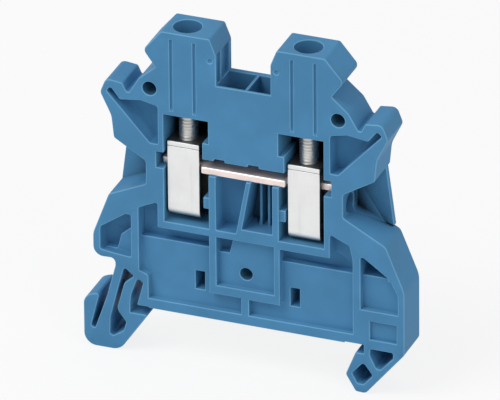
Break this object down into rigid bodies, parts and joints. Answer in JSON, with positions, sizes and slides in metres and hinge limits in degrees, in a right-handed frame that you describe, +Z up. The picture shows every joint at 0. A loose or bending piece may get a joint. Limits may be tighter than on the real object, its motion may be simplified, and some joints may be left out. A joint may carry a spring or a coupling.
{
  "type": "neutral terminal block",
  "caption": "Slim blue feed-through terminal block that clips onto a mounting rail, with screw clamps joined by a copper bar and one open side.",
  "frame": {"origin": "on the rail's centre line, level with the top of its flanges, in the middle of the block's width", "axes": "+X along the block to the side of the fixed foot, +Y along the rail from the open side to the closed side, +Z up away from the rail"},
  "size_m": [0.0488, 0.0062, 0.0522],
  "materials": {
    "blue_moulding": "moulded polyamide, satin",
    "copper": "pinkish copper strip, sheared edges",
    "plated_strip": "bright zinc-plated bent strip",
    "screw_steel": "zinc-plated machine screw"
  },
  "bodies": {
    "block": {"housing": "blue_moulding", "current_bar": "copper"},
    "left_clamp": {"clamp_left": "plated_strip"},
    "right_clamp": {"clamp_right": "plated_strip"},
    "left_screw": {"screw_left": "screw_steel"},
    "right_screw": {"screw_right": "screw_steel"}
  },
  "joints": [
    {"name": "left_screw_turn", "type": "hinge", "parent": "block", "child": "left_screw", "pos_m": [-0.0096, -0.0002, 0.03], "axis": [0, 0, -1], "range_deg": [-291, 4107]},
    {"name": "right_screw_turn", "type": "hinge", "parent": "block", "child": "right_screw", "pos_m": [0.0086, -0.0002, 0.03], "axis": [0, 0, -1], "range_deg": [-3, 4395]},
    {"name": "left_clamp_lift", "type": "slide", "parent": "block", "child": "left_clamp", "axis": [0, 0, 1], "range_m": [-0.0004, 0.0057]},
    {"name": "right_clamp_lift", "type": "slide", "parent": "block", "child": "right_clamp", "axis": [0, 0, 1], "range_m": [0, 0.0061]}
  ],
  "couplings": [
    {"joint": "left_screw_turn", "follows": "left_clamp_lift", "rad_per_m": 12566},
    {"joint": "right_screw_turn", "follows": "right_clamp_lift", "rad_per_m": 12566}
  ]
}
